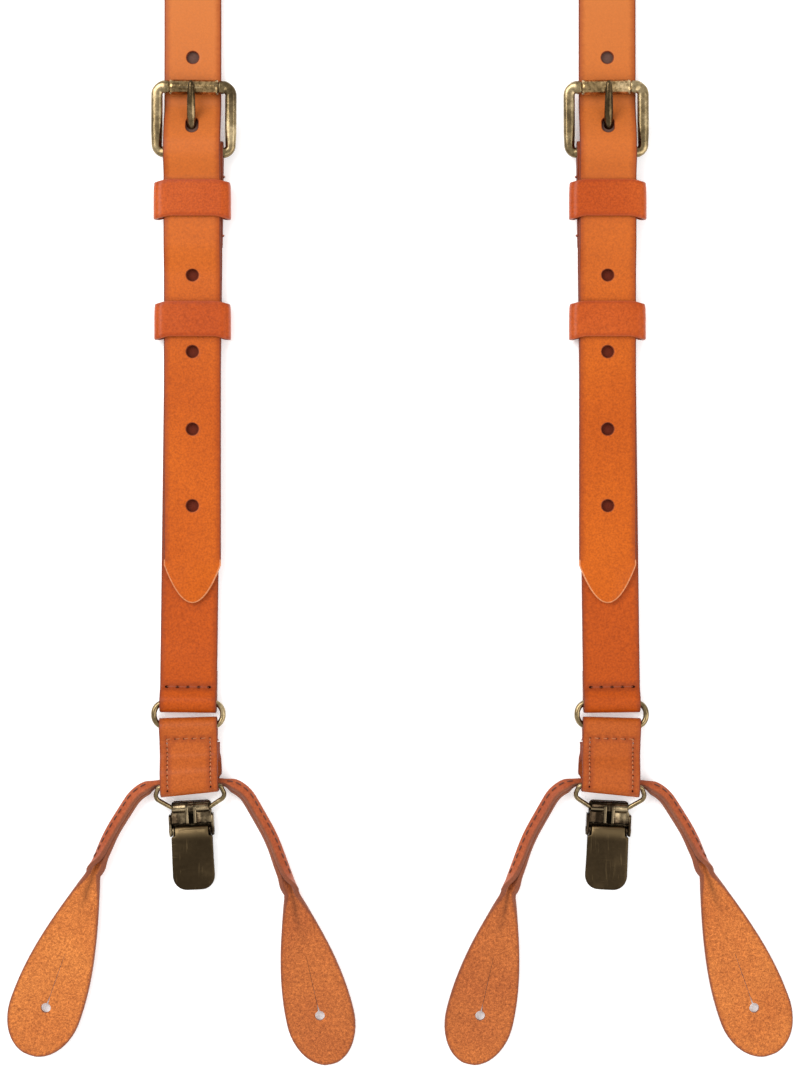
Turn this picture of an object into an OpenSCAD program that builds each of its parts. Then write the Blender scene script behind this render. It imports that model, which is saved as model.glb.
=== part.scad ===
// Leather button-on and clip-on trouser suspenders with a Y back, laid out flat.
// X runs across the pair, Y from the front ends up to the back end, Z up from the surface they lie on.

/* [Straps] */
// width of the leather straps
strap_w = 19.8; // [16:0.1:25]
// leather thickness of the straps
strap_t = 2.0; // [1.6:0.1:2.4]
// distance of each front strap's centre line from the middle
front_x = 72.2; // [50:0.1:90]
// height along the strap where the straps start to curve inwards
curve_y = 330; // [300:1:400]
// radius of the inward curve
curve_r = 1200; // [900:10:1500]
// angle of the inward curve
curve_a = 12; // [8:0.5:14]
// height at which both straps end under the back patch
join_y = 748; // [740:1:756]
// centre of the back ring
back_y = 915; // [880:1:960]

/* [Holes] */
// radius of the adjusting holes
hole_r = 2.1; // [1.5:0.1:2.5]
// first hole above the strap tip
hole_y = 72.6; // [70:0.1:76]
// spacing of the adjusting holes
hole_pitch = 26.8; // [24:0.1:30]

/* [Hardware] */
// half of the buckle's outer width
buckle_hw = 14.8; // [14:0.1:16]
// distance from the buckle's heel bar to its roller
buckle_l = 22.54; // [20:0.1:26]
// radius of the roller
roller_r = 2.6; // [2.2:0.1:2.8]
// half width of the strap ring between wire centres
ring_hw = 12; // [11.8:0.1:13]
// half width of the clip's lever plate at its end
lever_hw = 7.35; // [6.5:0.05:8]

/* [Button ends] */
// half width of the inner button end
paddle_a_hw = 11.9; // [10:0.1:14]
// half width of the outer button end
paddle_b_hw = 12.7; // [10:0.1:14]
// radius of the round of each buttonhole
button_r = 1.7; // [1.4:0.1:2.2]

/* [Hidden] */
y_mid = 457.5;
hw = strap_w / 2;
heel = [195.6, 4.1];
tan_c = [0.80, 0.44, 0.17];
dark_c = [0.55, 0.24, 0.10];
suede_c = [0.80, 0.52, 0.28];
brass_c = [0.50, 0.42, 0.27];
bronze_c = [0.26, 0.21, 0.15];
thread_c = [0.86, 0.62, 0.36];
ear_y = -23.9;
ear_z = 3.9;
wire_y = -24.9;
wire_z = 6.75;
bar_y = -32.4;
bar_z = 3.3;
wire_q = norm([bar_y - wire_y, bar_z - wire_z]);
wire_a = atan2(wire_z - bar_z, wire_y - bar_y);
$fn = 24;

function unit(v) = v / norm(v);
function smooth(t) = t <= 0 ? 0 : t >= 1 ? 1 : t * t * (3 - 2 * t);
function rev(p) = [for (i = [len(p) - 1:-1:0]) p[i]];
function side(p, d) = [for (i = [0:len(p) - 1])
  let (u = unit(p[min(i + 1, len(p) - 1)] - p[max(i - 1, 0)])) p[i] + d * [-u[1], u[0]]];
function arc(c, r, a0, a1, n) = [for (i = [0:n])
  let (a = a0 + (a1 - a0) * i / n) c + r * [cos(a), sin(a)]];
// an S-shaped run of centre points between two heights
function ess(y0, z0, y1, z1, n) = [for (i = [0:n])
  [y0 + (y1 - y0) * i / n, z0 + (z1 - z0) * smooth(i / n)]];

module strip(p, t) polygon(concat(side(p, t / 2), rev(side(p, -t / 2))));
// a profile drawn in Y and Z, given a width along X
module along_x(w, x = 0) translate([x - w / 2, 0, 0]) rotate([90, 0, 90]) linear_extrude(w) children();
// a profile drawn in X and Z, given a length along Y
module along_y(y0, y1) translate([0, y1, 0]) rotate([90, 0, 0]) linear_extrude(y1 - y0) children();
module rod_x(r, l, fn = 24) translate([-l / 2, 0, 0]) rotate([0, 90, 0]) cylinder(r = r, h = l, $fn = fn);
// a rectangle with its own radius at each corner, lower left first and anticlockwise
module round_rect(x0, x1, y0, y1, r) polygon(concat(
  arc([x0 + r[0], y0 + r[0]], r[0], 180, 270, 6), arc([x1 - r[1], y0 + r[1]], r[1], 270, 360, 6),
  arc([x1 - r[2], y1 - r[2]], r[2], 0, 90, 6), arc([x0 + r[3], y1 - r[3]], r[3], 90, 180, 6)));

// a closed loop of round wire through convex corners given anticlockwise
module wire_loop(p, r, b) {
  n = len(p);
  for (i = [0:n - 1]) {
    c = p[i];
    d = p[(i + 1) % n];
    u = unit(c - p[(i + n - 1) % n]);
    v = unit(d - c);
    w = unit(p[(i + 2) % n] - d);
    turn = acos(u * v);
    t0 = b * tan(turn / 2);
    t1 = b * tan(acos(v * w) / 2);
    m = c - t0 * u + b * [-u[1], u[0]];
    translate([m[0], m[1], 0]) rotate([0, 0, atan2(-u[0], u[1])])
      rotate_extrude(angle = turn, $fn = 48) translate([b, 0]) circle(r, $fn = 16);
    s = c + t0 * v;
    translate([s[0], s[1], 0]) rotate([0, 0, atan2(v[1], v[0])]) rotate([0, 90, 0])
      cylinder(r = r, h = norm(d - c) - t0 - t1, $fn = 16);
  }
}

// ---- where each group sits ----
module lean() translate([0, 130, 0]) rotate([0, 0, -0.7]) translate([0, -130, 0]) children();
module ring_frame() translate([0, 4.2, 0]) rotate([0, 0, 1.0]) translate([0, -4.2, 0]) children();
module tab_frame() ring_frame() translate([0, -4.2, 0]) rotate([0, 0, 1.3]) translate([0, 4.2, 0])
  children();
module clip_frame() tab_frame() translate([0, bar_y, 0]) rotate([0, 0, 1.2]) translate([0, -bar_y, 0])
  children();
module left() translate([-front_x, -y_mid, 0]) children();
module right() translate([front_x, -y_mid, 0]) mirror([1, 0, 0]) children();
module back() translate([0, back_y - y_mid, 0]) rotate([0, 0, 180]) children();

// ---- straps ----
adj_path = concat([[30, 4.85]], ess(153, 4.85, 164, 6.65, 8), ess(186.5, 6.65, 195.5, 9.35, 8),
  ess(197.5, 9.35, 213.5, 2.7, 14), ess(222, 2.7, 235, 2.4, 4), [[join_y, 2.4]]);
arc_end = [curve_r * (1 - cos(curve_a)), curve_y + curve_r * sin(curve_a)];
plan_path = concat([[0, 52], [0, curve_y]],
  [for (i = [1:8]) let (a = curve_a * i / 8) [curve_r * (1 - cos(a)), curve_y + curve_r * sin(a)]],
  [arc_end + (join_y + 8 - arc_end[1]) * [tan(curve_a), 1]]);
tip = [for (i = [0:16]) let (a = 180 + 180 * i / 16)
  [hw * cos(a), 52 - 13.2 * pow(abs(sin(a)), 2.5)]];

module shoulder_strap() color(tan_c) difference() {
  intersection() {
    linear_extrude(14) polygon(concat(rev(side(plan_path, hw)), tip, side(plan_path, -hw)));
    along_x(240) strip(adj_path, strap_t);
  }
  for (i = [0:4]) translate([0, hole_y + i * hole_pitch, -1]) cylinder(r = hole_r, h = 14);
  translate([0, 228.8, -1]) cylinder(r = hole_r, h = 14);
  for (y = [203.8, 205.3]) translate([0, y, -1]) cylinder(r = hole_r, h = 14);
  translate([-hole_r, 203.8, -1]) cube([2 * hole_r, 1.5, 14]);
}

ring_fold = concat([[15, 1.0]], arc([4.2, 3.6], 2.6, 270, 90, 14), ess(4.7, 6.2, 10, 3.05, 8));
heel_fold = arc(heel, 3.1, 111, -90, 14);
front_path = concat(ring_fold, [[16, 3.05]], ess(18, 3.05, 26, 2.7, 4), ess(155, 2.7, 166, 4.5, 8),
  [[187.6, 4.5]], heel_fold, [[163, 1.0]]);

module front_strap() color(tan_c) difference() {
  along_x(strap_w) strip(front_path, strap_t);
  translate([-3.8, 191.8, -1]) cube([5.2, 9, 14]);
}

module fixed_keeper() color(dark_c) along_y(173.1, 186) difference() {
  round_rect(-13.3, 13.3, 2.05, 9.15, [2.4, 2.4, 2.4, 2.4]);
  round_rect(-11.9, 11.9, 3.45, 7.75, [1, 1, 1, 1]);
}

module sliding_keeper() color(dark_c) along_y(131.4, 143.9) difference() {
  round_rect(-13.2, 13.2, 0, 7.6, [2.4, 2.4, 2.4, 2.4]);
  round_rect(-11.8, 11.8, 1.4, 6.2, [1, 1, 1, 1]);
}

module stitch(l = 2, r = 0.35) rotate([0, 90, 0]) translate([0, 0, -l / 2]) cylinder(r = r, h = l, $fn = 8);
module strap_stitching() color(thread_c) {
  for (i = [0:4]) translate([-6.8 + 3.4 * i, 9.2, 4.86]) stitch(2.2);
  // thread drawn over both edges of the folded strap, each side of the fixed keeper
  for (y = [166.9, 187.4], x = [-10.3, 10.3]) translate([x, y, 1.0]) cylinder(r = 0.35, h = 4.2, $fn = 8);
}

// ---- buckle ----
module heel_at() translate([0, heel[0], heel[1]]) children();
module frame_at() translate([-0.44, 0, 0]) heel_at() rotate([6.37, 0, 0]) children();
module buckle_frame() color(brass_c) frame_at() {
  for (s = [-1, 1]) intersection() {
    translate([0, 0, -1.45]) linear_extrude(2.9)
      round_rect(-buckle_hw, buckle_hw, -2.2, 25, [3.3, 3.3, 4.9, 4.9]);
    translate([s > 0 ? 10.9 : -20.9, -5, -3]) cube([10, 40, 6]);
  }
  rod_x(1.8, 22.4, 32);
  translate([0, buckle_l, 0]) rod_x(1.6, 22.4, 32);
}
module buckle_roller() color(brass_c) frame_at() translate([0, buckle_l, 0]) difference() {
  rod_x(roller_r, 16.8, 40);
  rod_x(1.65, 20, 40);
}
module buckle_prong() color(brass_c) translate([-1.17, 0, 0]) heel_at() difference() {
  union() {
    rod_x(3.2, 2.7, 40);
    rotate([28, 0, 0]) translate([0, 1.5, -2.5]) {
      rotate([-90, 0, 0]) cylinder(r = 1.2, h = 12.6);
      translate([0, 10.8, 0]) rotate([-13, 0, 0]) rotate([-90, 0, 0]) cylinder(r = 1, h = 12.6);
    }
  }
  rod_x(1.85, 6, 40);
}

// ---- ring and tab ----
module strap_ring() color(brass_c) translate([0, 0, 3.6])
  wire_loop([[-ring_hw, -4.2], [ring_hw, -4.2], [ring_hw, 4.2], [-ring_hw, 4.2]], 1.0, 2.2);

tab_path = concat(ess(-9.4, 3.45, -4.7, 1.2, 6), arc([-4.2, 3.6], 2.4, -90, 90, 12),
  ess(-4.7, 6.0, -9.6, 5.15, 6), ess(-13.5, 5.15, -20.5, 8.65, 8),
  arc([-24.7, 6.45], 2.2, 90, 180, 6), arc([-24.7, 3.1], 2.2, 180, 270, 6),
  ess(-20.5, 0.9, -13.5, 3.45, 8), [[-9.9, 3.45]]);
module end_tab() color(tan_c) along_x(20.2) strip(tab_path, 1.6);
// height of the tab's upper face
function tab_top(y) = 0.86 + (y > -9.6 ? 5.15 + 0.85 * smooth((y + 9.6) / 4.9)
  : y > -13.5 ? 5.15 : 5.15 + 3.5 * smooth((-13.5 - y) / 7));
function tab_slope(y) = atan2(tab_top(y + 0.1) - tab_top(y - 0.1), 0.2);
module tab_stitching() color(thread_c) {
  for (i = [0:4]) translate([-6 + 3 * i, -8.4, tab_top(-8.4) + 0.45]) stitch(2);
  for (x = [-7.5, 7.5], y = [-9.6, -12.5, -15.4, -18.3, -21.2])
    translate([x, y, tab_top(y) + 0.5]) rotate([tab_slope(y), 0, 0]) rotate([0, 0, 90]) stitch(1.6, 0.3);
}

// ---- button ear ----
function half_w(s, f, h) = s < f ? 2.4 + (h - 2.4) * pow(sin(90 * s / f), 0.9)
  : h * sqrt(max(0, 1 - pow((s - f) / 16.7, 2)));
module paddle(f, h) translate([0, 0, -0.9]) difference() {
  linear_extrude(1.8) polygon(concat(
    [for (i = [0:12]) let (s = f * i / 12) [s, -half_w(s, f, h)]],
    [for (i = [1:12]) let (a = 90 * i / 12) [f + 16.7 * sin(a), -h * cos(a)]],
    [for (i = [11:-1:1]) let (a = 90 * i / 12) [f + 16.7 * sin(a), h * cos(a)]],
    [for (i = [12:-1:0]) let (s = f * i / 12) [s, half_w(s, f, h)]]));
  translate([f - 1, 0, -1]) cylinder(r = button_r, h = 4, $fn = 32);
  translate([f - 22.6, -0.25, -1]) cube([21.6, 0.5, 4]);
}
// points along one arm, bend by bend, from inside the tab to a little way into the button end
function arm_path(x0, r1, a1, l1, r2, a2, l2) = let (
  p1 = [x0 + r1 * sin(a1), -r1 * (1 - cos(a1))], p2 = p1 + l1 * [cos(a1), -sin(a1)],
  c2 = p2 + r2 * [-sin(a1), -cos(a1)], d3 = [cos(a1 + a2), -sin(a1 + a2)])
  concat([for (i = [1:10]) let (a = a1 * i / 10) [x0 + r1 * sin(a), -r1 * (1 - cos(a))]],
    [for (i = [0:4]) let (a = a1 + a2 * i / 4) c2 + r2 * [sin(a), cos(a)]],
    [c2 + r2 * [sin(a1 + a2), cos(a1 + a2)] + (l2 + 5) * d3],
    [c2 + r2 * [sin(a1 + a2), cos(a1 + a2)] + l2 * d3]);
module arm(x0, r1, a1, l1, r2, a2, l2, head, f, h) {
  p = arm_path(x0, r1, a1, l1, r2, a2, l2);
  n = len(p);
  translate([0, 0, -1.5]) linear_extrude(3) strip([for (i = [0:n - 2]) p[i]], 3.8);
  translate([p[n - 1][0], p[n - 1][1], 0]) rotate([0, 0, -head]) paddle(f, h);
}
module ear_at() translate([0, ear_y, ear_z]) rotate([1.7, 0, 0]) children();
module button_ear() color(suede_c) ear_at() {
  rod_x(1.9, 25, 32);
  arm(10.5, 12, 62, 10, 60, 10, 12.1, 78.6, 48, paddle_a_hw);
  mirror([1, 0, 0]) arm(10.3, 13, 56, 8, 60, 10, 6.7, 68.8, 54, paddle_b_hw);
}
module ear_stitching() color(thread_c) ear_at() {
  for (i = [0:3]) translate([21.1 + 0.469 * (1.2 + 2.5 * i), -6.37 - 0.883 * (1.2 + 2.5 * i), 1.85])
    rotate([0, 0, -62]) stitch(1.8, 0.3);
  mirror([1, 0, 0]) for (i = [0:2])
    translate([21.08 + 0.559 * (1.2 + 2.5 * i), -5.73 - 0.829 * (1.2 + 2.5 * i), 1.85])
      rotate([0, 0, -56]) stitch(1.8, 0.3);
}

// ---- clip ----
module clip_wire() color(brass_c) translate([0, wire_y, wire_z]) rotate([wire_a, 0, 0])
  wire_loop([[-6.6, -wire_q], [6.6, -wire_q], [12.4, -4.2], [10.8, 0], [-10.8, 0], [-12.4, -4.2]],
    0.8, 1.2);

// clip profiles are drawn with the distance towards the free end first, then the height
module clip_x(w, x = 0) translate([x + w / 2, bar_y, 0]) rotate([90, 0, -90]) linear_extrude(w) children();
module clip_rod(v, z, r, l, x = 0, fn = 32) translate([x, bar_y - v, z]) rod_x(r, l, fn);

module clip_back_plate() color(brass_c) {
  translate([0, bar_y, 0]) linear_extrude(0.8)
    round_rect(-7, 7, -27.6, 2.2, [3.5, 3.5, 1.5, 1.5]);
  for (s = [-1, 1]) difference() {
    clip_x(0.8, 7.4 * s) polygon([[2.3, 0], [9.9, 0], [9.9, 4.2], [9.1, 5], [3.1, 5], [2.3, 4.2]]);
    clip_rod(7.9, 3.4, 0.72, 3, 7.4 * s);
  }
  for (v = [22.6, 24.2, 25.8]) clip_x(10) polygon([[v - 0.5, 0.7], [v + 0.5, 0.7], [v, 1.3]]);
}
module clip_front_plate() color(brass_c) difference() {
  union() {
    clip_rod(0, bar_z, 1.9, 11.8);
    clip_x(11.8) polygon([[0, 4.35], [0, 5.2], [1.7, 5.03], [1.7, 4.2]]);
    clip_x(14) polygon([[1.6, 4.2], [1.6, 5.04], [5.8, 4.6], [5.8, 3.8]]);
    for (x = [-4.25, 4.25]) clip_x(1.5, x) polygon([[-0.6, 4.9], [-0.2, 5.6], [5.2, 5.1], [5.6, 4.3]]);
    clip_x(2.9) polygon([[-0.9, 4.7], [-0.5, 5.5], [5.3, 4.95], [5.6, 4.3]]);
  }
  clip_rod(0, bar_z, 1.05, 20);
  translate([-0.73, bar_y - 4.6, 3.5]) cube([1.46, 3.4, 3]);
}
module clip_pin() color(brass_c) clip_rod(7.9, 3.4, 0.7, 15.6);
module clip_lever() color(bronze_c) difference() {
  union() {
    clip_rod(7.9, 3.4, 1.5, 11.6, 0, 40);
    clip_x(11.6) polygon([[7.9, 4.1], [7.9, 4.9], [10.6, 4.9], [10.6, 4.1]]);
    intersection() {
      clip_x(20) polygon([[10.4, 4.1], [10.4, 4.9], [28.7, 4.0], [28.7, 3.2]]);
      translate([0, bar_y, 0]) linear_extrude(10) polygon(concat([[7.15, -10.4], [-7.15, -10.4]],
        arc([-lever_hw + 4.1, -24.6], 4.1, 180, 270, 8), arc([lever_hw - 4.1, -24.6], 4.1, 270, 360, 8)));
    }
  }
  clip_rod(7.9, 3.4, 0.75, 20, 0, 32);
}
module clip_jaw() color(brass_c) difference() {
  union() {
    for (s = [-1, 1]) {
      clip_rod(7.9, 3.4, 1.3, 0.8, 6.4 * s);
      clip_x(0.8, 6.4 * s) polygon([[6.8, 2.6], [9.2, 3.4], [10.9, 2.2], [10.9, 1.5], [8.6, 1.5]]);
    }
    translate([0, bar_y, 1.5]) linear_extrude(0.7)
      round_rect(-6.8, 6.8, -26.8, -10.1, [3.5, 3.5, 0.5, 0.5]);
  }
  clip_rod(7.9, 3.4, 0.75, 20);
}

// ---- back ----
module back_strap() color(tan_c) back() along_x(strap_w) strip(concat(ring_fold, [[16, 3.05]],
  ess(18, 3.05, 30, 2.4, 5), [[back_y - join_y - 0.6, 2.4]]), strap_t);
patch_half = [[0, -27], [16, -25], [27, -20], [27.5, -14], [22, 4], [15.5, 20], [13.5, 27], [8, 31.5],
  [0, 33]];
function patch_pts(k) = concat([for (p = patch_half) k * p],
  [for (i = [len(patch_half) - 2:-1:1]) k * [-patch_half[i][0], patch_half[i][1]]]);
module patch_at(z) translate([0, join_y + 1 - y_mid, z]) children();
module back_lining() color(tan_c) patch_at(0) linear_extrude(1.4) polygon(patch_pts(1));
module back_patch() color(tan_c) patch_at(3.4) linear_extrude(1.8) polygon(patch_pts(1));
module patch_stitching() color(thread_c) patch_at(5.58) {
  p = patch_pts(0.9);
  n = len(p);
  for (i = [0:n - 1]) {
    a = p[i];
    d = p[(i + 1) % n] - a;
    m = max(1, round(norm(d) / 3.3));
    for (j = [0:m - 1]) let (c = a + d * (j + 0.5) / m)
      translate([c[0], c[1], 0]) rotate([0, 0, atan2(d[1], d[0])]) stitch(norm(d) / m * 0.66, 0.32);
  }
}

module shoulder_strap_left() left() shoulder_strap();
module shoulder_strap_right() right() shoulder_strap();
module front_strap_left() left() lean() front_strap();
module front_strap_right() right() lean() front_strap();
module fixed_keeper_left() left() fixed_keeper();
module fixed_keeper_right() right() fixed_keeper();
module sliding_keeper_left() left() sliding_keeper();
module sliding_keeper_right() right() sliding_keeper();
module buckle_frame_left() left() lean() buckle_frame();
module buckle_frame_right() right() lean() buckle_frame();
module buckle_roller_left() left() lean() buckle_roller();
module buckle_roller_right() right() lean() buckle_roller();
module buckle_prong_left() left() lean() buckle_prong();
module buckle_prong_right() right() lean() buckle_prong();
module strap_stitching_left() left() lean() strap_stitching();
module strap_stitching_right() right() lean() strap_stitching();
module strap_ring_left() left() lean() ring_frame() strap_ring();
module strap_ring_right() right() lean() ring_frame() strap_ring();
module strap_ring_back() back() ring_frame() strap_ring();
module end_tab_left() left() lean() tab_frame() end_tab();
module end_tab_right() right() lean() tab_frame() end_tab();
module end_tab_back() back() tab_frame() end_tab();
module tab_stitching_left() left() lean() tab_frame() tab_stitching();
module tab_stitching_right() right() lean() tab_frame() tab_stitching();
module tab_stitching_back() back() tab_frame() tab_stitching();
module button_ear_left() left() lean() tab_frame() button_ear();
module button_ear_right() right() lean() tab_frame() button_ear();
module button_ear_back() back() tab_frame() button_ear();
module ear_stitching_left() left() lean() tab_frame() ear_stitching();
module ear_stitching_right() right() lean() tab_frame() ear_stitching();
module ear_stitching_back() back() tab_frame() ear_stitching();
module clip_wire_left() left() lean() tab_frame() clip_wire();
module clip_wire_right() right() lean() tab_frame() clip_wire();
module clip_wire_back() back() tab_frame() clip_wire();
module clip_back_plate_left() left() lean() clip_frame() clip_back_plate();
module clip_back_plate_right() right() lean() clip_frame() clip_back_plate();
module clip_back_plate_back() back() clip_frame() clip_back_plate();
module clip_front_plate_left() left() lean() clip_frame() clip_front_plate();
module clip_front_plate_right() right() lean() clip_frame() clip_front_plate();
module clip_front_plate_back() back() clip_frame() clip_front_plate();
module clip_jaw_left() left() lean() clip_frame() clip_jaw();
module clip_jaw_right() right() lean() clip_frame() clip_jaw();
module clip_jaw_back() back() clip_frame() clip_jaw();
module clip_lever_left() left() lean() clip_frame() clip_lever();
module clip_lever_right() right() lean() clip_frame() clip_lever();
module clip_lever_back() back() clip_frame() clip_lever();
module clip_pin_left() left() lean() clip_frame() clip_pin();
module clip_pin_right() right() lean() clip_frame() clip_pin();
module clip_pin_back() back() clip_frame() clip_pin();

shoulder_strap_left();
shoulder_strap_right();
front_strap_left();
front_strap_right();
fixed_keeper_left();
fixed_keeper_right();
sliding_keeper_left();
sliding_keeper_right();
buckle_frame_left();
buckle_frame_right();
buckle_roller_left();
buckle_roller_right();
buckle_prong_left();
buckle_prong_right();
strap_stitching_left();
strap_stitching_right();
strap_ring_left();
strap_ring_right();
strap_ring_back();
end_tab_left();
end_tab_right();
end_tab_back();
tab_stitching_left();
tab_stitching_right();
tab_stitching_back();
button_ear_left();
button_ear_right();
button_ear_back();
ear_stitching_left();
ear_stitching_right();
ear_stitching_back();
clip_wire_left();
clip_wire_right();
clip_wire_back();
clip_back_plate_left();
clip_back_plate_right();
clip_back_plate_back();
clip_front_plate_left();
clip_front_plate_right();
clip_front_plate_back();
clip_jaw_left();
clip_jaw_right();
clip_jaw_back();
clip_lever_left();
clip_lever_right();
clip_lever_back();
clip_pin_left();
clip_pin_right();
clip_pin_back();
back_strap();
back_patch();
back_lining();
patch_stitching();
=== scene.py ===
import math
import bpy
import numpy as np
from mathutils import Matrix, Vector
from mathutils.geometry import delaunay_2d_cdt


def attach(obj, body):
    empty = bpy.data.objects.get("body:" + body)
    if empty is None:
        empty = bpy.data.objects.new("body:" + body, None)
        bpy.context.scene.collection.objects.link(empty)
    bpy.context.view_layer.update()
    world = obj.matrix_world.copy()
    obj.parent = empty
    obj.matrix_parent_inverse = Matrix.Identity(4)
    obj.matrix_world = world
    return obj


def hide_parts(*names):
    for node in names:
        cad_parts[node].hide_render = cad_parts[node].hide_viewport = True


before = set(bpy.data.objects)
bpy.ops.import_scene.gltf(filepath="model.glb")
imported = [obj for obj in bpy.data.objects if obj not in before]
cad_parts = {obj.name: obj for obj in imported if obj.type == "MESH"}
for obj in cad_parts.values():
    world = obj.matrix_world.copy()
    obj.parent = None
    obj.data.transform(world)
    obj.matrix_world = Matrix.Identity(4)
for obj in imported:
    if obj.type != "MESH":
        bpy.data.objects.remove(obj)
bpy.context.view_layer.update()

MM = 0.001
# millimetres: the whole part, the middle of the back patch, and a front strap's distance from the middle line
LENGTH, JOIN_Y, FRONT_X = 915.0, 748.0, 72.2
Y_MID = LENGTH / 2
# one end hangs from the strap in four steps, each turned by (centre, degrees)
STEPS = [((0, 130), -0.7), ((0, 4.2), 1.0), ((0, -4.2), 1.3), ((0, -32.4), 1.2)]
# half a strap's width, its thickness and the rounding of its cut edges
HW, STRAP_T, STRAP_R = 9.9, 2.0, 0.42
# (along, height) of the ring's upper bar and the buckle's heel bar, and how far the roller's bar is from that one
RING, HEEL, BAR_Y = (4.2, 3.6), (195.6, 4.1), 22.54
# where a clip begins, and (along, height) of its pin
CLIP_Y, PIN = -32.4, (7.9, 3.4)
# the round holes in a shoulder strap
HOLES, HOLE_R = (72.6, 99.4, 126.2, 153.0, 179.8, 228.8), 2.1


# ---------------------------------------------------------------- placing
def place(p, side, n):
    """Millimetres in the frame after n steps of one end, to metres in the row frame."""
    p = np.array(p, float)
    for c, a in reversed(STEPS[1 if side == "back" else 0:n]):
        cos, sin = math.cos(math.radians(a)), math.sin(math.radians(a))
        x, y = p[:, 0] - c[0], p[:, 1] - c[1]
        p[:, 0], p[:, 1] = x * cos - y * sin + c[0], x * sin + y * cos + c[1]
    if side == "left":
        p[:, 0] -= FRONT_X
        p[:, 1] -= Y_MID
    elif side == "right":
        p[:, 0] = FRONT_X - p[:, 0]
        p[:, 1] -= Y_MID
    elif side == "back":
        p[:, 0] *= -1
        p[:, 1] = LENGTH - Y_MID - p[:, 1]
    else:
        p[:, 1] -= Y_MID
    return p * MM


def make(name, v, f, side, n, mats, body, nodes=(), index=None, attrs=None, smooth=True, slot=None):
    name = name.replace(" ", "_")
    v = place(v, side, n)
    if side == "right":
        f = [tuple(reversed(q)) for q in f]
    me = bpy.data.meshes.new(name)
    me.from_pydata(v.tolist(), [], f)
    for m in mats:
        me.materials.append(m)
    if index is not None:
        me.polygons.foreach_set("material_index", np.array(index, dtype=np.int32))
    for k, a in (attrs or {}).items():
        at = me.attributes.new(k, "FLOAT", "POINT")
        at.data.foreach_set("value", np.array(a, dtype=np.float32))
    me.update()
    if smooth:
        me.shade_smooth()
    ob = bpy.data.objects.new(name, me)
    bpy.context.scene.collection.objects.link(ob)
    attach(ob, body)
    if nodes:
        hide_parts(*nodes)
    return ob


def solid(name, shape, side, n, mat, body, *nodes, slot="antique_brass", attrs=None):
    """A piece in one material, from (vertices, faces)."""
    make(name, *shape, side, n, [mat], body, nodes, attrs=attrs, slot=slot)


def cut_piece(name, cut, side, n, mats, body, node, slot="tan_leather"):
    """A piece from what sheet returns, with the second material on its cut edge."""
    v, f, kind, d = cut
    make(name, v, f, side, n, mats, body, [node], [int(k == 2) for k in kind], {"inset": d}, slot=slot)


# ---------------------------------------------------------------- shapes
def smooth_step(t):
    t = np.clip(t, 0, 1)
    return t * t * (3 - 2 * t)


def ess(y0, z0, y1, z1, n):
    """A rise from one level to another in the shape of an S."""
    t = np.linspace(0, 1, n + 1)
    return np.c_[y0 + (y1 - y0) * t, z0 + (z1 - z0) * smooth_step(t)].tolist()


def arc(c, r, a0, a1, n):
    a = np.radians(np.linspace(a0, a1, n + 1))
    return np.c_[c[0] + r * np.cos(a), c[1] + r * np.sin(a)].tolist()


class Path:
    """A line of points, measured along its length."""

    def __init__(self, pts):
        p = np.array(pts, float)
        keep = np.r_[True, np.linalg.norm(np.diff(p, axis=0), axis=1) > 1e-6]
        p = p[keep]
        step = np.linalg.norm(np.diff(p, axis=0), axis=1)
        self.s = np.r_[0, np.cumsum(step)]
        n = max(200, int(self.s[-1] / 0.25)) if self.s[-1] < 300 else 2400
        q = np.linspace(0, self.s[-1], n)
        self.p = np.c_[[np.interp(q, self.s, p[:, i]) for i in range(p.shape[1])]].T
        self.s = q
        t = np.gradient(self.p, axis=0)
        self.t = t / np.linalg.norm(t, axis=1)[:, None]
        self.length = self.s[-1]

    def at(self, v):
        p = np.c_[[np.interp(v, self.s, self.p[:, i]) for i in range(self.p.shape[1])]].T
        t = np.c_[[np.interp(v, self.s, self.t[:, i]) for i in range(self.p.shape[1])]].T
        return p, t / np.linalg.norm(t, axis=1)[:, None]

    def find(self, y):
        """The distance along at which the first coordinate is nearest y."""
        return float(self.s[np.argmin(abs(self.p[:, 0] - y))])

    def near(self, y, z):
        """The distance along at which the line is nearest (y, z)."""
        return float(self.s[np.argmin(np.hypot(self.p[:, 0] - y, self.p[:, 1] - z))])


def profile_map(path):
    """Sheet across X, along a profile in Y and Z."""
    def f(u, v, w):
        p, t = path.at(v)
        return np.c_[u, p[:, 0] - w * t[:, 1], p[:, 1] + w * t[:, 0]]
    return f


def off(p, d):
    """A closed line moved by d to its left."""
    q = np.roll(p, -1, 0) - np.roll(p, 1, 0)
    q /= np.linalg.norm(q, axis=1)[:, None]
    return p + d * np.c_[-q[:, 1], q[:, 0]]


def inside(pts, poly):
    x, y = pts[:, 0][:, None], pts[:, 1][:, None]
    x0, y0 = poly[:, 0], poly[:, 1]
    x1, y1 = np.roll(x0, -1), np.roll(y0, -1)
    cross = (y0 > y) != (y1 > y)
    with np.errstate(divide="ignore", invalid="ignore"):
        xi = x0 + (y - y0) * (x1 - x0) / (y1 - y0)
    return (cross & (x < xi)).sum(1) % 2 == 1


def edge_distance(pts, loops):
    best = np.full(len(pts), 1e9)
    for p in loops:
        q = np.roll(p, -1, 0) - p
        ll = (q ** 2).sum(1)
        for k in range(0, len(pts), 2000):
            d = pts[k:k + 2000, None, :] - p[None]
            t = np.clip((d * q).sum(2) / ll, 0, 1)
            r = np.linalg.norm(d - t[..., None] * q, axis=2).min(1)
            best[k:k + 2000] = np.minimum(best[k:k + 2000], r)
    return best


def circle(c, r, n=28):
    a = np.linspace(0, 2 * np.pi, n, endpoint=False)
    return np.c_[c[0] + r * np.cos(a), c[1] + r * np.sin(a)]


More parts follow.
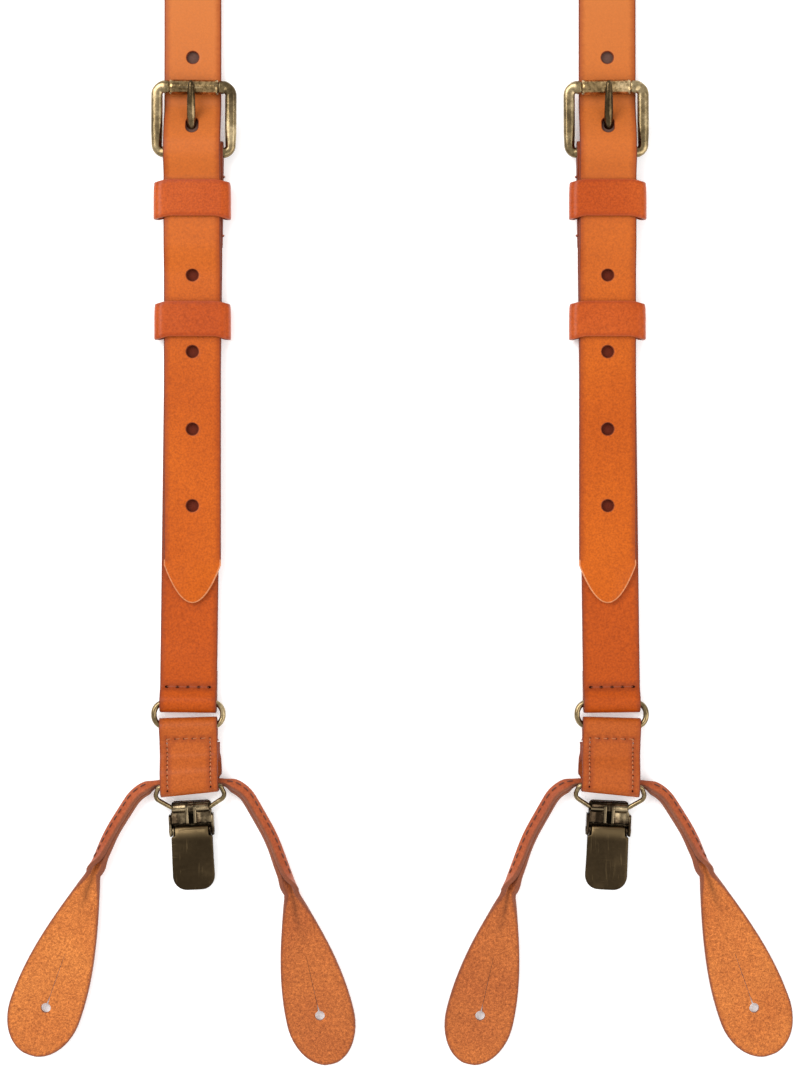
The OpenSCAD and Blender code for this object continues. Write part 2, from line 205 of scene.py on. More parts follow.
def sheet(outline, holes, grid, t, r, mapf, steps=3, ring=True):
    """A piece t thick, cut to outline with its edges rounded by r, laid on mapf(u, v, w). holes are (loop, rounding).
    Returns vertices, faces, 0 for an upper face, 1 for a lower one and 2 for an edge, and each vertex's distance in
    from the outline, or with ring from the nearest hole as well."""
    outline = np.array(outline, float)
    loops = [(outline, r)] + [(np.array(h, float)[::-1], rh) for h, rh in holes]
    pts, edges, starts = [], [], []
    for p, rr in loops:
        k = len(pts)
        starts.append(k)
        pts += off(p, rr).tolist()
        edges += [(k + i, k + (i + 1) % len(p)) for i in range(len(p))]

    def kept(q, gap):
        ok = inside(q, off(outline, r + gap))
        for h, rh in loops[1:]:
            ok &= ~inside(q, off(h, rh + gap))
        return ok

    g = np.array(grid, float)
    pts += g[kept(g, 0.25)].tolist()
    cv, _, cf, back, _, _ = delaunay_2d_cdt([tuple(p) for p in pts], edges, [], 0, 1e-6)
    cv = np.array([tuple(p) for p in cv])
    to = {k: i for i, o in enumerate(back) for k in o}
    tri = np.array([f for f in cf if len(f) == 3])
    tri = tri[kept(cv[tri].mean(1), 0)]
    n = len(cv)
    u, v = list(cv[:, 0]) * 2, list(cv[:, 1]) * 2
    w = [t / 2] * n + [-t / 2] * n
    dist = list(edge_distance(cv, [p for p, _ in loops] if ring else [outline])) * 2
    faces = [tuple(f) for f in tri] + [(a + n, c + n, b + n) for a, b, c in tri]
    kind = [0] * len(tri) + [1] * len(tri)
    turns = [90 - 90 * k / steps for k in range(1, steps + 1)]
    turns = [(a, 1) for a in turns] + [(-a, -1) for a in reversed(turns)]
    for (p, rr), s0 in zip(loops, starts):
        m = len(p)
        rings = [[to[s0 + i] for i in range(m)]]
        for a, up in turns:
            inset = rr * (1 - math.cos(math.radians(a)))
            base, q = len(u), off(p, inset)
            u += list(q[:, 0])
            v += list(q[:, 1])
            w += [up * (t / 2 - rr) + rr * math.sin(math.radians(a))] * m
            dist += [inset * 0.5 if ring or s0 == 0 else 3.0] * m
            rings.append(list(range(base, base + m)))
        rings.append([to[s0 + i] + n for i in range(m)])
        for ra, rb in zip(rings, rings[1:]):
            for i in range(m):
                j = (i + 1) % m
                faces.append((ra[i], rb[i], rb[j], ra[j]))
                kind.append(2)
    return mapf(np.array(u), np.array(v), np.array(w)), faces, kind, dist


def ring_faces(m, n, closed=True):
    """The faces between m rings of n points, and between the last and the first when closed."""
    return [(i * n + j, i * n + (j + 1) % n, (i + 1) % m * n + (j + 1) % n, (i + 1) % m * n + j)
            for i in range(m if closed else m - 1) for j in range(n)]


def tube(pts, radii, closed=False, n=14, flat=(1, 1)):
    """A round bar along pts. flat gives (across, up) factors on the radius."""
    p = np.array(pts, float)
    m = len(p)
    t = (np.roll(p, -1, 0) - np.roll(p, 1, 0)) if closed else np.gradient(p, axis=0)
    t /= np.linalg.norm(t, axis=1)[:, None]
    ref = np.array([0, 0, 1.0])
    if abs(t @ ref).max() > 0.95:
        ref = np.array([1.0, 0, 0])
    a = np.cross(t, ref)
    a /= np.linalg.norm(a, axis=1)[:, None]
    b = np.cross(a, t)
    radii = np.broadcast_to(np.array(radii, float), (m,))[:, None, None]
    ang = np.linspace(0, 2 * np.pi, n, endpoint=False)[:, None]
    v = p[:, None] + radii * (flat[0] * np.cos(ang) * a[:, None] + flat[1] * np.sin(ang) * b[:, None])
    v = v.reshape(-1, 3).tolist()
    f = ring_faces(m, n, closed)
    if not closed:
        for i, rev in ((0, False), (m - 1, True)):
            c = len(v)
            v.append(p[i].tolist())
            for j in range(n):
                q = (c, i * n + (j + 1) % n, i * n + j)
                f.append(q if not rev else (q[0], q[2], q[1]))
    return np.array(v), f


def sweep(center, across, up, n=20, power=2.6):
    """A bar whose rounded section changes along a flat closed line."""
    p = np.array(center, float)
    t = np.roll(p, -1, 0) - np.roll(p, 1, 0)
    t /= np.linalg.norm(t, axis=1)[:, None]
    nrm = np.c_[t[:, 1], -t[:, 0]]
    v = []
    for i in range(len(p)):
        for j in range(n):
            c, s = math.cos(2 * math.pi * j / n), math.sin(2 * math.pi * j / n)
            x = across[i] * math.copysign(abs(c) ** (2 / power), c)
            v.append([*(p[i] + nrm[i] * x), up[i] * math.copysign(abs(s) ** (2 / power), s)])
    return np.array(v), [(a, d, c, b) for a, b, c, d in ring_faces(len(p), n)]


def turned(prof, y0, z0, n=28):
    """A profile of (x, radius) turned round a line along X at (y0, z0)."""
    v = [[x, y0 + r * math.cos(2 * math.pi * j / n), z0 + r * math.sin(2 * math.pi * j / n)]
         for x, r in prof for j in range(n)]
    return np.array(v), [q[::-1] for q in ring_faces(len(prof), n)]


def divided(loop, step):
    """A closed line's points, with more between them where they are more than step apart."""
    out, p = [], np.array(loop, float)
    for a, b in zip(p, np.roll(p, -1, 0)):
        d = np.linalg.norm(b - a)
        m = max(1, int(d / step)) if d > 1e-6 else 0
        out += [a + (b - a) * k / m for k in range(m)]
    return np.array(out)


def disc(rim, mid, z, t):
    """A disc t thick under rim, at one height or one for each point."""
    n = len(rim)
    top = np.vstack([np.c_[rim, np.broadcast_to(z, n)], [[*mid, np.mean(z)]]])
    nxt = [(i + 1) % n for i in range(n)]
    f = [(i, k, n) for i, k in enumerate(nxt)] + [(k + n + 1, i + n + 1, 2 * n + 1) for i, k in enumerate(nxt)]
    f += [(i, i + n + 1, k + n + 1, k) for i, k in enumerate(nxt)]
    return np.vstack([top, top - [0, 0, t]]), f


def join(parts):
    vs, fs = [], []
    for v, f in parts:
        k = sum(len(x) for x in vs)
        vs.append(np.array(v))
        fs += [tuple(i + k for i in q) for q in f]
    return np.vstack(vs), fs


def bent_loop(pts, bend, n=8):
    """A closed line through pts with its corners rounded to bend, one radius or one for each."""
    p = np.array(pts, float)
    out = []
    for i in range(len(p)):
        b = bend if isinstance(bend, (int, float)) else bend[i]
        c, u, w = p[i], p[i] - p[i - 1], p[(i + 1) % len(p)] - p[i]
        u, w = u / np.linalg.norm(u), w / np.linalg.norm(w)
        turn = math.acos(np.clip(u @ w, -1, 1))
        k = b * math.tan(turn / 2)
        m = c - k * u + b * np.array([-u[1], u[0]])
        a0 = math.atan2((c - k * u - m)[1], (c - k * u - m)[0])
        for j in range(n + 1):
            a = a0 + turn * j / n
            out.append([m[0] + b * math.cos(a), m[1] + b * math.sin(a)])
    return np.array(out)


# ---------------------------------------------------------------- materials
def material(name):
    m = bpy.data.materials.new(name)
    m.use_nodes = True
    nt = m.node_tree
    bs = nt.nodes["Principled BSDF"]
    return m, nt, bs


def put(nd, values):
    for k, x in values.items():
        nd.inputs[k].default_value = x


def add(nt, kind, **values):
    nd = nt.nodes.new(kind)
    put(nd, values)
    return nd


def noise(nt, co, scale, detail=4.0, rough=0.5, dist=0.0, stretch=None):
    if stretch:
        mp = add(nt, "ShaderNodeMapping", Scale=stretch)
        nt.links.new(co, mp.inputs["Vector"])
        co = mp.outputs["Vector"]
    nd = add(nt, "ShaderNodeTexNoise", Scale=scale, Detail=detail, Roughness=rough, Distortion=dist)
    nt.links.new(co, nd.inputs["Vector"])
    return nd.outputs["Fac"]


def ramp(nt, fac, stops):
    nd = nt.nodes.new("ShaderNodeValToRGB")
    cr = nd.color_ramp
    while len(cr.elements) < len(stops):
        cr.elements.new(0.5)
    for e, (p, c) in zip(cr.elements, stops):
        e.position = p
        e.color = (*c, 1)
    nt.links.new(fac, nd.inputs["Fac"])
    return nd.outputs["Color"]


def mix(nt, fac, a, b, mode="MIX"):
    nd = nt.nodes.new("ShaderNodeMix")
    nd.data_type = "RGBA"
    nd.blend_type = mode
    for s, k in ((fac, 0), (a, 6), (b, 7)):
        if isinstance(s, (int, float)):
            nd.inputs[k].default_value = s
        elif isinstance(s, tuple):
            nd.inputs[k].default_value = (*s, 1)
        else:
            nt.links.new(s, nd.inputs[k])
    return nd.outputs[2]


def tint(nt, fac, col, height, low, high):
    """Multiply a colour by a ramp, each end of it (position, colour)."""
    return mix(nt, fac, col, ramp(nt, height, [low, high]), "MULTIPLY")


def mapr(nt, fac, a, b, c=0.0, d=1.0, smooth=True):
    nd = nt.nodes.new("ShaderNodeMapRange")
    nd.interpolation_type = "SMOOTHSTEP" if smooth else "LINEAR"
    put(nd, {"From Min": a, "From Max": b, "To Min": c, "To Max": d})
    nt.links.new(fac, nd.inputs["Value"])
    return nd.outputs["Result"]


def math_node(nt, op, a, b):
    nd = nt.nodes.new("ShaderNodeMath")
    nd.operation = op
    for i, s in enumerate((a, b)):
        if isinstance(s, (int, float)):
            nd.inputs[i].default_value = s
        else:
            nt.links.new(s, nd.inputs[i])
    return nd.outputs[0]


def bumps(nt, bs, layers):
    """layers of (height, strength, distance), the broadest first"""
    last = None
    for h, s, d in layers:
        nd = add(nt, "ShaderNodeBump", Strength=s, Distance=d)
        nt.links.new(h, nd.inputs["Height"])
        if last is not None:
            nt.links.new(last, nd.inputs["Normal"])
        last = nd.outputs["Normal"]
    nt.links.new(last, bs.inputs["Normal"])


def lin(r, g, b):
    """A colour as seen on a screen, to the renderer's linear values."""
    f = lambda c: c / 12.92 if c <= 0.04045 else ((c + 0.055) / 1.055) ** 2.4
    return tuple(round(f(c / 255), 4) for c in (r, g, b))


def coords(nt):
    return nt.nodes.new("ShaderNodeTexCoord").outputs["Object"]


def attribute(nt, name):
    nd = nt.nodes.new("ShaderNodeAttribute")
    nd.attribute_name = name
    return nd.outputs["Fac"]


def edging(nt, col, fine, soft, most, edge):
    """The edge's colour, fading inwards over soft millimetres along an uneven line."""
    line = math_node(nt, "ADD", attribute(nt, "inset"), mapr(nt, fine, 0.3, 0.7, -0.3, 0.3, False))
    return mix(nt, mapr(nt, line, 0.1, soft, most, 0.0), col, edge)


def leather(name, light, deep, edge, rough=0.42, soft=1.6, fade=None, coat=0.15):
    m, nt, bs = material(name)
    co = coords(nt)
    cloud = noise(nt, co, 22, 3, 0.55)
    fine = noise(nt, co, 760, 4, 0.65)
    grain = noise(nt, co, 1500, 4, 0.7)
    col = ramp(nt, cloud, [(0.35, deep), (0.68, light)])
    col = tint(nt, 0.42, col, fine, (0.3, (0.72, 0.66, 0.58)), (0.7, (1.1, 1.1, 1.1)))
    col = tint(nt, 0.5, col, grain, (0.35, (0.5, 0.42, 0.36)), (0.6, (1.14, 1.14, 1.14)))
    if fade:
        sep = nt.nodes.new("ShaderNodeSeparateXYZ")
        nt.links.new(co, sep.inputs[0])
        far = mix(nt, 0.85, col, fade[2])
        col = mix(nt, mapr(nt, sep.outputs["Y"], fade[0], fade[1], 0, 1), col, far)
    col = edging(nt, col, fine, soft, 0.62, edge)
    nt.links.new(col, bs.inputs["Base Color"])
    nt.links.new(mapr(nt, fine, 0.3, 0.7, rough - 0.06, rough + 0.1, False), bs.inputs["Roughness"])
    put(bs, {"Coat Weight": coat, "Coat Roughness": 0.3, "Specular IOR Level": 0.14})
    vor = add(nt, "ShaderNodeTexVoronoi", Scale=1150.0)
    nt.links.new(co, vor.inputs["Vector"])
    bumps(nt, bs, [(cloud, 0.25, 0.0012), (fine, 0.14, 0.0002), (vor.outputs["Distance"], 0.16, 0.00014),
                   (grain, 0.22, 0.00012)])
    return m


def suede(name, light, deep, edge):
    m, nt, bs = material(name)
    co = coords(nt)
    cloud = noise(nt, co, 30, 4, 0.6)
    fine = noise(nt, co, 1050, 6, 0.75)
    nap = noise(nt, co, 2600, 3, 0.7)
    fibre = noise(nt, co, 260, 5, 0.75, 1.5, (1.0, 0.45, 1.0))
    col = ramp(nt, cloud, [(0.32, deep), (0.7, light)])
    col = tint(nt, 0.75, col, fine, (0.34, (0.45, 0.36, 0.28)), (0.66, (1.3, 1.3, 1.3)))
    col = tint(nt, 0.7, col, nap, (0.36, (0.5, 0.4, 0.32)), (0.62, (1.3, 1.3, 1.3)))
    # painted shade along the fold's crease in the middle of the ear's neck
    crease_shade = math_node(nt, "MULTIPLY", attribute(nt, "crease_shade"), mapr(nt, fibre, 0.3, 0.6, 0.5, 1.0, False))
    col = mix(nt, crease_shade, col, tuple(0.3 * c for c in deep))
    col = tint(nt, 0.2, col, fibre, (0.35, (0.7, 0.6, 0.5)), (0.65, (1.1, 1.08, 1.04)))
    col = edging(nt, col, fine, 1.3, 0.7, edge)
    nt.links.new(col, bs.inputs["Base Color"])
    put(bs, {"Roughness": 0.88, "Specular IOR Level": 0.15, "Sheen Weight": 0.12, "Sheen Roughness": 0.6})
    bumps(nt, bs, [(cloud, 0.3, 0.001), (fibre, 0.14, 0.0003), (fine, 0.6, 0.0003), (nap, 0.6, 0.00018)])
    return m


def metal(name, dark, mid, bright, rough=0.34, scratch=0.25, cloud=1.0, speck=0.6):
    m, nt, bs = material(name)
    co = coords(nt)
    broad = noise(nt, co, 90, 5, 0.62)
    fine = noise(nt, co, 900, 5, 0.7)
    along = noise(nt, co, 260, 3, 0.6, 0.3, (6.0, 0.35, 1.0))
    across = noise(nt, co, 240, 3, 0.6, 0.4, (0.5, 5.0, 1.0))
    fac = mapr(nt, broad, 0, 1, 0.5 - 0.5 * cloud, 0.5 + 0.5 * cloud, False)
    col = ramp(nt, fac, [(0.3, dark), (0.52, mid), (0.78, bright)])
    col = tint(nt, speck, col, fine, (0.36, (0.4, 0.38, 0.34)), (0.62, (1.2, 1.2, 1.2)))
    # painted highlight and painted shade, each from a vertex attribute
    col = mix(nt, attribute(nt, "wear"), col, bright)
    col = mix(nt, attribute(nt, "painted_shade"), col, (0.004, 0.003, 0.002))
    lines = math_node(nt, "MAXIMUM", mapr(nt, along, 0.62, 0.72, 0, 1), mapr(nt, across, 0.64, 0.74, 0, 1))
    col = mix(nt, math_node(nt, "MULTIPLY", lines, scratch), col, bright)
    nt.links.new(col, bs.inputs["Base Color"])
    put(bs, {"Metallic": 1.0})
    nt.links.new(mapr(nt, broad, 0.3, 0.7, rough - 0.08, rough + 0.12, False), bs.inputs["Roughness"])
    bumps(nt, bs, [(broad, 0.12, 0.0003), (fine, 0.12, 0.00008), (lines, 0.15, 0.00004)])
    return m


def thread_mat(name, c1, c2):
    m, nt, bs = material(name)
    co = coords(nt)
    w = add(nt, "ShaderNodeTexWave", Scale=900.0, Distortion=1.0)
    nt.links.new(co, w.inputs["Vector"])
    col = mix(nt, mapr(nt, w.outputs["Fac"], 0.2, 0.8), c1, c2)
    nt.links.new(col, bs.inputs["Base Color"])
    put(bs, {"Roughness": 0.75})
    bumps(nt, bs, [(w.outputs["Fac"], 0.5, 0.0001)])
    return m


TAN = leather("tan leather", lin(184, 87, 12), lin(173, 77, 8), lin(124, 46, 12), soft=2.8, coat=0.03,
              fade=(-0.36, -0.16, lin(182, 108, 54)))
LOWER = leather("lower tan leather", lin(172, 74, 10), lin(160, 66, 8), lin(116, 44, 14), soft=2.4, coat=0.03)
KEEP = leather("keeper leather", lin(178, 80, 22), lin(164, 66, 10), lin(132, 44, 8), rough=0.34, coat=0.12, soft=1.8)
EDGE = leather("cut edge", lin(136, 66, 36), lin(112, 50, 28), lin(108, 46, 26), rough=0.5, coat=0.0)
PALE = leather("pale cut edge", lin(206, 136, 92), lin(190, 118, 76), lin(190, 118, 76), rough=0.5, coat=0.0)
KEDGE = leather("keeper edge", lin(176, 88, 44), lin(150, 66, 30), lin(150, 66, 30), rough=0.4, coat=0.1)
# painted shade under the strap holes
UNDER_HOLE_SHADE = leather("painted shade under holes", lin(112, 42, 18), lin(96, 34, 16), lin(96, 34, 16), rough=0.7, coat=0.0)
# painted shade inside the two holes at the buckle
SHADE = leather("painted hole shade", lin(104, 76, 66), lin(92, 66, 58), lin(92, 66, 58), rough=0.8, coat=0.0)
TABL = leather("tab leather", lin(170, 84, 30), lin(162, 77, 24), lin(128, 54, 22), soft=2.0, coat=0.05)
INNER = suede("darker flesh side", lin(184, 106, 50), lin(164, 88, 42), lin(110, 54, 32))
FLESH = suede("flesh side", lin(200, 122, 58), lin(182, 102, 46), lin(118, 58, 34))
RAW = suede("raw edge", lin(176, 106, 62), lin(140, 78, 46), lin(112, 58, 38))
CORD = leather("rolled leather", lin(164, 82, 44), lin(148, 68, 36), lin(120, 54, 32), soft=0.8, coat=0.05)
BRASS = metal("antique brass", lin(84, 70, 50), lin(132, 114, 82), lin(192, 172, 134), rough=0.22)
ROLL = metal("roller brass", lin(96, 78, 52), lin(178, 150, 106), lin(240, 216, 172), rough=0.24, speck=1.0)
PRONG = metal("prong brass", lin(58, 46, 31), lin(90, 74, 50), lin(170, 146, 110), rough=0.2)
BRONZE = metal("dark bronze", lin(50, 40, 27), lin(58, 47, 32), lin(112, 94, 66), rough=0.33, scratch=0.5, cloud=0.3,
               speck=0.2)
CLIPB = metal("clip brass", lin(30, 24, 18), lin(60, 48, 35), lin(176, 156, 122), rough=0.2)
THREAD = thread_mat("thread", lin(190, 122, 78), lin(156, 88, 52))
KNOT = thread_mat("dark thread", lin(150, 74, 44), lin(112, 50, 30))
SEAM = thread_mat("seam thread", lin(98, 46, 30), lin(72, 32, 20))


# ---------------------------------------------------------------- shoulder straps
ADJ = Path([[30, 4.85]] + ess(153, 4.85, 164, 6.65, 24) + ess(186.5, 6.65, 195.5, 9.35, 24)
           + ess(197.5, 9.35, 213.5, 2.7, 40) + ess(222, 2.7, 235, 2.4, 12) + [[JOIN_Y + 6, 2.4]])
# past BEND_Y the strap bends towards the middle line, on a radius and through an angle
BEND_R, BEND, BEND_Y = 1200.0, math.radians(12), 330.0


def shoulder_map(u, v, w):
    p, t = ADJ.at(v)
    y, z = p[:, 0] - w * t[:, 1], p[:, 1] + w * t[:, 0]
    a = np.clip((y - BEND_Y) / BEND_R, 0, BEND)
    far = np.maximum(0, y - BEND_Y - BEND_R * BEND)
    cx = BEND_R * (1 - np.cos(a)) + far * math.sin(BEND)
    cy = np.where(y < BEND_Y, y, BEND_Y + BEND_R * np.sin(a) + far * math.cos(BEND))
    return np.c_[cx + u * np.cos(a), cy - u * np.sin(a), z]


def strap_outline(v0, v1, lines, hw, tip=0.0):
    """Along the right edge, across the far end and back, with a rounded point at the near end."""
    vs = [v for v in lines if v0 + tip < v < v1]
    right = [[hw, v] for v in vs] + [[hw, v1], [-hw, v1]] + [[-hw, v] for v in reversed(vs)]
    if tip:
        a = np.radians(np.linspace(180, 360, 33))
        head = np.c_[hw * np.cos(a), v0 + tip - tip * abs(np.sin(a)) ** 2].tolist()
    else:
        head = [[-hw, v0], [hw, v0]]
    return np.array(head + right)


def grid(lines, hw, cols=(-0.78, -0.45, 0, 0.45, 0.78)):
    return [[c * hw, v] for v in lines for c in cols]


s_of = ADJ.find
adj_end = BEND_Y + BEND_R * BEND + (JOIN_Y - (BEND_Y + BEND_R * math.sin(BEND))) / math.cos(BEND)
spans = [(54, 150, 6.0), (150, 168, 0.8), (168, 184, 4.0), (184, 198, 0.7), (198, 216, 0.7), (220, 237, 1.5),
         (240, 330, 10.0), (330, adj_end, 7.0)]
lines = sorted({s_of(y) for span in spans for y in np.arange(*span)})
for side in ("left", "right"):
    holes = [(circle((0, s_of(y)), HOLE_R), 0.3) for y in HOLES]
    # the prong's hole is drawn out along the strap
    a = np.radians(np.linspace(0, 180, 15))
    holes.append((np.vstack([np.c_[HOLE_R * np.cos(a), s_of(205.3) + HOLE_R * np.sin(a)],
                             np.c_[-HOLE_R * np.cos(a), s_of(203.5) - HOLE_R * np.sin(a)]]), 0.3))
    g = grid(lines, HW) + sum([circle((0, s_of(y)), 3.4, 16).tolist() for y in HOLES], [])
    out = strap_outline(s_of(38.8), s_of(30) + adj_end - 30, lines, HW, 13.2)
    v, f, kind, d = sheet(out, holes, g, STRAP_T, STRAP_R, shoulder_map, ring=False)
    # the end of the strap has a paler cut edge and no darker border
    d = np.maximum(d, 3 * smooth_step((56 - v[:, 1]) / 6))
    index = [0 if k != 2 else 2 if v[list(q)].mean(0)[1] < 54 else 1 for k, q in zip(kind, f)]
    make("strap " + side, v, f, side, 0, [TAN, EDGE, PALE], "straps", ["shoulder_strap_" + side], index, {"inset": d},
         slot="tan_leather")
    # painted shade: dark discs on the lower strap under the holes, standing in for the shadow there
    v, f = join([disc(circle((0.2, y), 2.5, 24), (0.2, y), 3.72, 0.04) for y in HOLES[:4]])
    make("shade under holes " + side, v, f, side, 0, [UNDER_HOLE_SHADE], "straps", smooth=False)
    # dark discs part of the way down the two holes at the buckle, painted shade standing in for the shadow in them
    parts = []
    for y, ry in ((204.5, 3.0), (228.8, 2.25)):
        c = circle((0.0, y), 2.2, 24)
        c[:, 1] = y + (c[:, 1] - y) * ry / 2.2
        p, _ = ADJ.at(np.interp(c[:, 1], ADJ.p[:, 0], ADJ.s))
        parts.append(disc(c, (0.0, y), p[:, 1] - 0.55, 0.1))
    v, f = join(parts)
    make("hole shades " + side, v, f, side, 0, [SHADE], "straps", smooth=False)

# ---------------------------------------------------------------- front straps
ring_fold = [[15, 1.0]] + arc(RING, 2.6, 270, 90, 40) + ess(4.7, 6.2, 10, 3.05, 16)
heel_fold = arc(HEEL, 3.1, 111, -90, 40)
FR = Path(ring_fold + [[16, 3.05]] + ess(18, 3.05, 26, 2.7, 8) + ess(155, 2.7, 166, 4.5, 16) + [[187.6, 4.5]]
          + heel_fold + [[163, 1.0]])


def thread(sheetmap, t, pairs, r=0.28, lift=0.16):
    """Stitches along pairs of points on a sheet's upper side."""
    parts = []
    for (u0, v0), (u1, v1) in pairs:
        k = np.array([0, 0.06, 0.2, 0.5, 0.8, 0.94, 1])
        w = t / 2 + np.array([-0.5, -0.1, lift * 0.8, lift, lift * 0.8, -0.1, -0.5])
        p = sheetmap(u0 + (u1 - u0) * k, v0 + (v1 - v0) * k, w)
        parts.append(tube(p, r, n=8))
    return join(parts)


fmap, L = profile_map(FR), FR.length
ring_top = FR.near(4.2, 6.2)
row = ring_top + 5.9
slot_a, slot_b = FR.near(191.8, 6.1), FR.near(191.8, 1.0)
ls = np.r_[np.arange(0, ring_top + 9, 0.6), np.arange(ring_top + 10, ring_top + 26, 3),
           np.arange(ring_top + 30, ring_top + 150, 9.0), np.arange(ring_top + 150, L, 0.8)]
ls = [x for x in sorted(set(ls.tolist())) if 0.5 < x < L - 0.5]
stitches = [(x, row) for x in (-7.5, -3.8, -0.2, 3.6, 7.2)]
holes = [(circle(h, 0.7, 12), 0.1) for h in stitches]
# the prong's slot through the fold at the heel bar
a = np.radians(np.linspace(0, 180, 9))
c0, hw0 = -1.2, 2.6
holes.append((np.vstack([np.c_[c0 + hw0 * np.cos(a), slot_b - hw0 + hw0 * np.sin(a)],
                         np.c_[c0 - hw0 * np.cos(a), slot_a + hw0 - hw0 * np.sin(a)]]), 0.3))
for side in ("left", "right"):
    cut = sheet(strap_outline(0, L, ls, HW), holes, grid(ls, HW), STRAP_T, STRAP_R, fmap)
    cut_piece("front strap " + side, cut, side, 1, [LOWER, EDGE], "straps", "front_strap_" + side)
    parts = [thread(fmap, STRAP_T, zip(stitches, stitches[1:]), 0.14, -0.08)]
    for y in (166.9, 187.4):
        for x in (-10.05, 10.05):
            parts.append(tube([[x * 0.97, y, 1.2], [x, y, 1.4], [x * 1.025, y, 3.1], [x, y, 4.9], [x * 0.97, y, 5.2]],
                              0.32, n=8))
    solid("strap thread " + side, join(parts), side, 1, KNOT, "straps", "strap_stitching_" + side, slot="thread")

# ---------------------------------------------------------------- keepers
def keeper(kind, side, y0, y1, half, z0, z1, body):
    """A band from y0 to y1, half its outer width to each side, from z0 to z1."""
    t, r, crown = 1.4, 2.0, 0.3
    x1, a, b = half - t / 2, z0 + t / 2, z1 - t / 2
    pts = [[0, a]] + arc((x1 - r, a + r), r, 270, 360, 12) + arc((x1 - r, b - r), r, 0, 90, 12) \
        + arc((-x1 + r, b - r), r, 90, 180, 12) + arc((-x1 + r, a + r), r, 180, 270, 12) + [[-0.15, a]]
    x, z = np.array(pts).T
    path = Path(np.c_[x * (1 + 0.012 * np.sin(math.pi * (z - a) / (b - a))),
                      z + np.where(z > (a + b) / 2, crown * (1 - (x / x1) ** 2), 0)])
    mid, hw = (y0 + y1) / 2, (y1 - y0) / 2

    def m(u, v, w):
        p, t_ = path.at(v)
        pinch = 0.3 * np.clip((u - mid) / hw, 0, 1) ** 4
        x = p[:, 0] + w * t_[:, 1]
        x = x - np.sign(x) * pinch * smooth_step((abs(x) - 8) / 4)
        return np.c_[x, u - 1.0 * smooth_step((abs(x) - 7.5) / 5.5), p[:, 1] - w * t_[:, 0]]
    ls = np.arange(0.6, path.length - 0.3, 0.6)
    out = strap_outline(0, path.length, ls, hw)
    out[:, 0] += mid
    g = [[mid + c * hw, s] for s in ls for c in (-0.75, -0.35, 0, 0.35, 0.75)]
    cut_piece(kind + " keeper " + side, sheet(out, [], g, t, 0.4, m), side, 0, [KEEP, KEDGE], body,
              kind + "_keeper_" + side, "dark_leather")


for side in ("left", "right"):
    keeper("fixed", side, 173.1, 186.0, 13.3, 2.05, 9.15, "straps")
    keeper("sliding", side, 131.4, 143.9, 13.2, 0.0, 7.6, "keeper_" + side)

# ---------------------------------------------------------------- buckle
TILT = math.radians(6.37)


def frame_pts(p, dx=-0.44):
    """From the buckle's own plane (X, along, up) to the strap's frame."""
    p = np.array(p, float)
    return np.c_[p[:, 0] + dx, HEEL[0] + p[:, 1] * math.cos(TILT) - p[:, 2] * math.sin(TILT),
                 HEEL[1] + p[:, 1] * math.sin(TILT) + p[:, 2] * math.cos(TILT)]


def buckle(side):
    # centre line of the frame: sides flat and wide, both bars round and narrower
    c = bent_loop([[-12.85, 0], [12.85, 0], [12.85, BAR_Y], [-12.85, BAR_Y]], 2.6, 10)
    pts = divided(c, 0.25)
    side_ness = smooth_step((abs(pts[:, 0]) - 10.2) / 1.9)
    low = smooth_step((8 - pts[:, 1]) / 8)
    far = pts[:, 1] > 11
    collar = smooth_step((abs(pts[:, 0]) - 8.45) / 0.3) * far
    across = np.where(far, 1.6 + 0.7 * collar, 1.8) * (1 - side_ness) + side_ness * (2.0 - 0.25 * low)
    up = np.where(far, 1.6 + 0.3 * collar, 1.8) * (1 - side_ness) + side_ness * 1.5
    v, f = sweep(pts, across, up)
    solid("buckle frame " + side, (frame_pts(v), f), side, 1, BRASS, "buckle_" + side, "buckle_frame_" + side)
    r = 2.6
    prof = [[-8.4, 1.75], [-8.4, r - 0.3], [-8.1, r], [-7.2, r], [7.2, r], [8.1, r], [8.4, r - 0.3], [8.4, 1.75],
            [7.9, 1.68], [-7.9, 1.68]]
    v, f = turned(prof, BAR_Y, 0, 40)
    solid("roller " + side, (frame_pts(v), f), side, 1, ROLL, "roller_" + side, "buckle_roller_" + side)
    # prong: a flattened loop round the heel bar, then a tapering rod up through the hole and over the roller
    turn = np.linspace(0, 2 * math.pi, 40, endpoint=False)
    loop = [[0, HEEL[0] + 2.52 * math.cos(a), HEEL[1] + 2.52 * math.sin(a)] for a in turn]
    rise = math.radians(28)
    out, over = np.array([math.cos(rise), math.sin(rise)]), np.array([math.sin(rise), -math.cos(rise)])
    line = [np.array(HEEL) + 1.5 * out + 2.5 * over + k * out for k in (0, 3, 6, 9, 11)]
    knee, end = line[-1], np.array([219.8, 10.75])
    for k in (0.12, 0.3, 0.5, 0.7, 0.85, 0.95, 1.0):
        line.append(knee + (end - knee) * k + np.array([0, 0.45 * math.sin(math.pi * k)]))
    path = Path(line)
    q = np.linspace(0, path.length, 34)
    p, _ = path.at(q)
    rad = np.interp(q / path.length, [0, 0.1, 0.45, 0.72, 0.95, 0.985, 1], [1.0, 1.35, 1.42, 1.3, 0.98, 0.8, 0.35])
    v, f = join([tube(loop, 1.0, closed=True, n=12, flat=(0.62, 1.3)),
                 tube(np.c_[np.zeros(len(q)), p], rad, n=16, flat=(1.1, 0.92))])
    v[:, 0] -= 1.17
    solid("prong " + side, (v, f), side, 1, PRONG, "prong_" + side, "buckle_prong_" + side)


for side in ("left", "right"):
    buckle(side)

